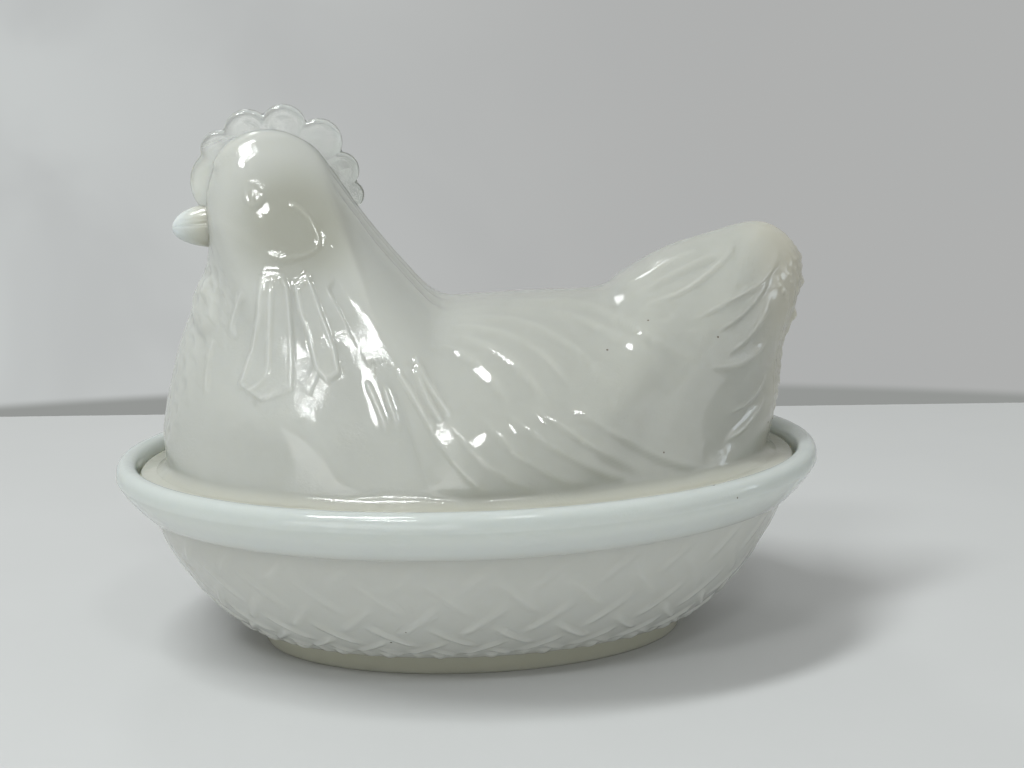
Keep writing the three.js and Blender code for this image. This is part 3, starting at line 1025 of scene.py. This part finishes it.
def glass_skin(tree, place, shader):
    """Polish with slow waves and finely rippled worn patches."""
    worn = ramp(tree, noise(tree, place, *WORN_NOISE), *WORN_RAMP)
    ripple = add(tree.nodes, "Bump", Distance=RIPPLE_DEPTH)
    tree.links.new(worn, ripple.inputs["Strength"])
    tree.links.new(noise(tree, place, *RIPPLE_NOISE), ripple.inputs["Height"])
    waves = add(tree.nodes, "Bump", Strength=WAVE_STRENGTH, Distance=WAVE_DEPTH)
    tree.links.new(noise(tree, place, *WAVE_NOISE), waves.inputs["Height"])
    tree.links.new(ripple.outputs["Normal"], waves.inputs["Normal"])
    tree.links.new(waves.outputs["Normal"], shader.inputs["Normal"])
    tree.links.new(ramp(tree, worn, *ROUGHNESS_RAMP), shader.inputs["Roughness"])


def opal_glass(name, glass):
    """Opal glass: light scatters under a polished skin, with faint swirls, seeds and tinted ends,
    mostly painted shade or light.
    """
    material, tree, shader, place = new_material(name)
    tree.links.new(glass_colour(tree, place, glass), shader.inputs["Base Color"])
    glass_skin(tree, place, shader)
    shader.inputs["IOR"].default_value = GLASS_IOR
    shader.inputs["Subsurface Weight"].default_value = 1.0
    shader.inputs["Subsurface Radius"].default_value = SCATTER_COLOURS
    shader.inputs["Subsurface Scale"].default_value = SCATTER_SCALE
    return material


def comb_glass():
    """Glass that is milky where it leaves the head and nearly clear at its outer beads."""
    material = opal_glass("comb_glass", COMB_GLASS)
    tree = material.node_tree
    shader = tree.nodes["Principled BSDF"]
    place = tree.nodes.new("ShaderNodeTexCoord").outputs["Object"]
    clearness = nearness(tree, place, COMB_MILKY_MIDDLE, *COMB_CLEARING)
    tree.links.new(clearness, shader.inputs["Transmission Weight"])
    shader.inputs["Subsurface Scale"].default_value = COMB_SCATTER_SCALE
    return material


# Studio

TABLE_WIDTH = 4.4
TABLE_DEPTH = 2.8
TABLE_EDGE = 0.273
TABLE_TURN = -6.0
TABLE_COLOUR = (0.55, 0.56, 0.56)
TABLE_MOTTLE = 0.94
TABLE_NOISE = (14.0, 4.0)
TABLE_ROUGHNESS = 0.8

ROOM_LIGHT = (0.96, 0.96, 0.93)
ROOM_STRENGTH = 0.46
# Painted light and shade on the wall: lighter on the left, darker to the right.
WALL_LEFT = (0.59, 0.615, 0.61)
WALL_RIGHT = (0.43, 0.435, 0.43)
WALL_SPAN = (-0.4, 0.24)
BLOTCH_COLOUR = (0.42, 0.43, 0.43)
BLOTCH_NOISE = (7.0, 3.0, 0.6)
BLOTCH_RAMP = (0.35, 0.75, 0.0, 0.4)
# A dim band of painted shade between wall and table, by the world's direction: its upper and lower edge
# in Z, its tilt, and the Y between which it comes in
GAP_SHADE_COLOUR = (0.3, 0.31, 0.3)
GAP_TOP = (-0.1935, -0.187)
GAP_BOTTOM = (-0.23, -0.205)
GAP_TILT = 0.008
GAP_BEHIND = (0.8, 0.9)

LIT_POINT = (0.0, 0.0, 0.06)
# Softboxes that face the lit point: name, place, size, the axis of their first side, power, colour
SOFTBOXES = [
    ("key", (-0.47, -0.31, 1.23), (0.58, 0.17), (0.8, 0.5, 0.0), 9.6, (0.97, 1.0, 1.0)),
    ("lamp", (-0.39, -0.79, 0.94), (0.26, 0.12), (1.0, 0.0, 0.0), 2.4, (0.98, 1.0, 1.0)),
    ("small_lamp", (0.21, -0.78, 1.02), (0.16, 0.1), (1.0, 0.0, 0.0), 1.2, (0.98, 1.0, 1.0)),
    ("front", (-0.6, -1.2, 0.16), (1.2, 0.5), (1.0, -0.5, 0.0), 3.6, (1.0, 1.0, 0.98)),
    ("side", (1.1, -0.7, 0.3), (1.2, 0.45), (0.7, 1.0, 0.0), 1.3, (0.97, 0.99, 1.0)),
    ("back_lamp", (-0.22, 0.86, 0.88), (0.2, 0.3), (1.0, 0.0, 0.0), 0.9, (0.98, 1.0, 1.0)),
    ("window", (1.25, -0.1, 0.28), (0.14, 0.2), (0.0, 1.0, 0.0), 0.3, (0.82, 0.91, 1.0)),
]

CAMERA_TARGET = (0.0113, 0.0, 0.064)
CAMERA_DISTANCE = 0.394
CAMERA_TURN = -4.2
CAMERA_RISE = 11.0
CAMERA_ROLL = -1.17
CAMERA_LENS = 54.14
CAMERA_SENSOR = 36.0


def table_paint():
    """Matt paint with a faint mottle."""
    material, tree, shader, place = new_material("table_paint")
    darker = tuple(TABLE_MOTTLE * c for c in TABLE_COLOUR)
    mottled = blend_colours(tree, noise(tree, place, *TABLE_NOISE), darker, TABLE_COLOUR)
    tree.links.new(mottled, shader.inputs["Base Color"])
    shader.inputs["Roughness"].default_value = TABLE_ROUGHNESS
    return material


def table():
    """A wide table whose straight far edge stands behind the object, turned a little."""
    bm = bmesh.new()
    made = bmesh.ops.create_grid(bm, x_segments=2, y_segments=2, size=0.5)["verts"]
    bmesh.ops.scale(bm, verts=made, vec=(TABLE_WIDTH, TABLE_DEPTH, 1))
    bmesh.ops.translate(bm, verts=made, vec=(0, -TABLE_DEPTH / 2, 0))
    turn = Matrix.Rotation(math.radians(TABLE_TURN), 3, "Z")
    bmesh.ops.rotate(bm, verts=made, cent=(0, 0, 0), matrix=turn)
    bmesh.ops.translate(bm, verts=made, vec=(0, TABLE_EDGE, 0))
    mesh = bpy.data.meshes.new("table")
    bm.to_mesh(mesh)
    bm.free()
    table_object = bpy.data.objects.new("table", mesh)
    bpy.context.scene.collection.objects.link(table_object)
    mesh.materials.append(table_paint())


def wall_tone(tree):
    """The tone of a pale wall: blotched, with painted light on the left and painted shade to the right,
    and a dim band of painted shade where the table ends.
    """
    way = tree.nodes.new("ShaderNodeTexCoord").outputs["Generated"]
    axes = add(tree.nodes, "SeparateXYZ")
    tree.links.new(way, axes.inputs["Vector"])
    across = ramp(tree, axes.outputs["X"], *WALL_SPAN)
    colour = blend_colours(tree, across, WALL_LEFT, WALL_RIGHT)
    blotch = ramp(tree, noise(tree, way, *BLOTCH_NOISE), *BLOTCH_RAMP)
    wall = blend_colours(tree, blotch, colour, BLOTCH_COLOUR)
    upward = add(tree.nodes, "VectorMath")
    upward.operation = "DOT_PRODUCT"
    upward.inputs[1].default_value = (GAP_TILT, 0.0, 1.0)
    tree.links.new(way, upward.inputs[0])
    behind = ramp(tree, axes.outputs["Y"], *GAP_BEHIND)
    # Painted shade between wall and table.
    gap = blend_colours(tree, behind, wall, GAP_SHADE_COLOUR)
    above = ramp(tree, upward.outputs["Value"], *GAP_TOP)
    below = ramp(tree, upward.outputs["Value"], *GAP_BOTTOM, 1.0, 0.0)
    return blend_colours(tree, below, blend_colours(tree, above, gap, wall), wall)


def room():
    """Plain light all round; the eye, and gloss and glass, see the wall's tone instead."""
    world = bpy.data.worlds.new("room")
    bpy.context.scene.world = world
    world.use_nodes = True
    tree = world.node_tree
    light = tree.nodes["Background"]
    light.inputs["Color"].default_value = (*ROOM_LIGHT, 1)
    light.inputs["Strength"].default_value = ROOM_STRENGTH
    seen = add(tree.nodes, "Background", Strength=1.0)
    tree.links.new(wall_tone(tree), seen.inputs["Color"])
    ray = tree.nodes.new("ShaderNodeLightPath").outputs
    looks = ray["Is Camera Ray"]
    for name in ("Is Glossy Ray", "Is Transmission Ray"):
        either = add(tree.nodes, "Math")
        either.operation = "MAXIMUM"
        tree.links.new(looks, either.inputs[0])
        tree.links.new(ray[name], either.inputs[1])
        looks = either.outputs["Value"]
    mix = tree.nodes.new("ShaderNodeMixShader")
    tree.links.new(looks, mix.inputs["Fac"])
    tree.links.new(light.outputs["Background"], mix.inputs[1])
    tree.links.new(seen.outputs["Background"], mix.inputs[2])
    tree.links.new(mix.outputs["Shader"], tree.nodes["World Output"].inputs["Surface"])


def aim(thing, across, up, back):
    """Turns an object so that its own x, y and z point across, up and back."""
    thing.rotation_euler = Matrix([[across[k], up[k], back[k]] for k in range(3)]).to_euler()


def softbox(name, place, size, axis, power, colour):
    """A flat light that faces the object, with its first side along the axis."""
    data = bpy.data.lights.new(name, "AREA")
    data.shape = "RECTANGLE"
    data.size, data.size_y = size
    data.energy = power
    data.color = colour
    light = bpy.data.objects.new(name, data)
    bpy.context.scene.collection.objects.link(light)
    light.location = place
    back = (Vector(place) - Vector(LIT_POINT)).normalized()
    across = (Vector(axis) - back * back.dot(Vector(axis))).normalized()
    aim(light, across, back.cross(across), back)


def camera():
    data = bpy.data.cameras.new("camera")
    data.sensor_width = CAMERA_SENSOR
    data.lens = CAMERA_LENS
    data.clip_start = 0.01
    turn = math.radians(CAMERA_TURN)
    rise = math.radians(CAMERA_RISE)
    roll = math.radians(CAMERA_ROLL)
    back = Vector((math.sin(turn) * math.cos(rise), -math.cos(turn) * math.cos(rise), math.sin(rise)))
    level = Vector((math.cos(turn), math.sin(turn), 0.0))
    upright = back.cross(level)
    right = level * math.cos(roll) + upright * math.sin(roll)
    up = -level * math.sin(roll) + upright * math.cos(roll)
    eye = bpy.data.objects.new("camera", data)
    bpy.context.scene.collection.objects.link(eye)
    aim(eye, right, up, back)
    eye.location = Vector(CAMERA_TARGET) + back * CAMERA_DISTANCE
    bpy.context.scene.camera = eye


# The whole

camera()
table()
room()
for values in SOFTBOXES:
    softbox(*values)

nest_dish(opal_glass("dish_glass", DISH_GLASS))
hen_body(opal_glass("hen_glass", HEN_GLASS))
comb(comb_glass())
beak(opal_glass("beak_glass", BEAK_GLASS))
bpy.context.scene.view_settings.view_transform = "Standard"
